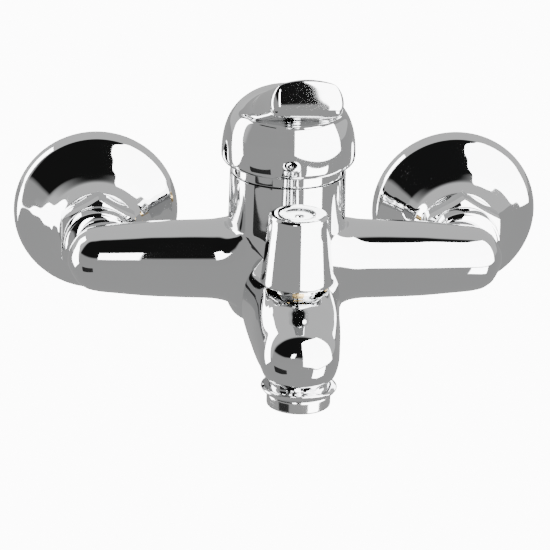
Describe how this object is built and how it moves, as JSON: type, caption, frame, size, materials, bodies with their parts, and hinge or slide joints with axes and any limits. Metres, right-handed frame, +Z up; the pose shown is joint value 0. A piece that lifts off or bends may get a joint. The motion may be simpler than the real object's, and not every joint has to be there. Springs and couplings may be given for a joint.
{
  "type": "wall mounted bath faucet",
  "caption": "Wall mounted single-lever bath mixer with domed handle, short cast spout with pull-up diverter, two wall flanges and a shower outlet below.",
  "frame": {"origin": "on the wall plane, midway between the two wall threads", "axes": "+X to the right as the user sees it, +Y into the wall, +Z up"},
  "size_m": [0.2184, 0.1722, 0.1423],
  "materials": {
    "chrome_plated_brass": "mirror polished",
    "raw_brass": "turned",
    "black_rubber": "matt",
    "white_plastic": "moulded satin",
    "white_ceramic": "lapped",
    "stainless_steel": "drawn",
    "satin_chrome": "fine turned satin",
    "spindle_brass": "machined",
    "black_plastic": "glossy"
  },
  "bodies": {
    "fixed": {"mixer_body": "chrome_plated_brass", "shower_outlet_nipple": "chrome_plated_brass", "wall_flange_left": "chrome_plated_brass", "wall_flange_right": "chrome_plated_brass", "union_nut_left": "chrome_plated_brass", "union_nut_right": "chrome_plated_brass", "bonnet_ring": "chrome_plated_brass", "s_union_left": "raw_brass", "s_union_right": "raw_brass", "inlet_tail_left": "raw_brass", "inlet_tail_right": "raw_brass", "cartridge_nut": "raw_brass", "diverter_bush": "raw_brass", "diverter_seat": "raw_brass", "union_washer_left": "black_rubber", "union_washer_right": "black_rubber", "cartridge_seals": "black_rubber", "stem_o_ring": "black_rubber", "aerator_washer": "black_rubber", "cartridge_housing": "white_plastic", "cartridge_base": "white_plastic", "aerator_insert": "white_plastic", "outlet_check_valve": "white_plastic", "fixed_ceramic_disc": "white_ceramic", "diverter_spring": "stainless_steel", "aerator_ring": "satin_chrome"},
    "swivel": {"swivel_core": "white_plastic", "spindle_pivot_pin": "stainless_steel"},
    "lever": {"cartridge_spindle": "spindle_brass", "handle": "chrome_plated_brass", "handle_set_screw": "stainless_steel", "indicator_plug": "black_plastic"},
    "disc": {"moving_ceramic_disc": "white_ceramic", "disc_carrier": "white_plastic"},
    "diverter": {"diverter_knob": "chrome_plated_brass", "diverter_stem": "raw_brass", "diverter_piston": "raw_brass", "shower_valve_pad": "black_rubber", "spout_valve_pad": "black_rubber"}
  },
  "joints": [
    {"name": "lever_swivel", "type": "hinge", "parent": "fixed", "child": "swivel", "pos_m": [0, -0.06, 0.036], "axis": [0, 0, 1], "range_deg": [-50, 50]},
    {"name": "lever_lift", "type": "hinge", "parent": "swivel", "child": "lever", "pos_m": [0, -0.06, 0.036], "axis": [-1, 0, 0], "range_deg": [0, 25]},
    {"name": "disc_slide", "type": "slide", "parent": "swivel", "child": "disc", "axis": [0, -1, 0], "range_m": [0, 0.0032]},
    {"name": "diverter_pull", "type": "slide", "parent": "fixed", "child": "diverter", "axis": [0, 0, 1], "range_m": [0, 0.0055], "stiffness_N_per_m": 150, "springref_m": -0.01, "deforming": ["diverter_spring"]}
  ],
  "couplings": [
    {"joint": "disc_slide", "follows": "lever_lift", "m_per_rad": 0.007}
  ]
}
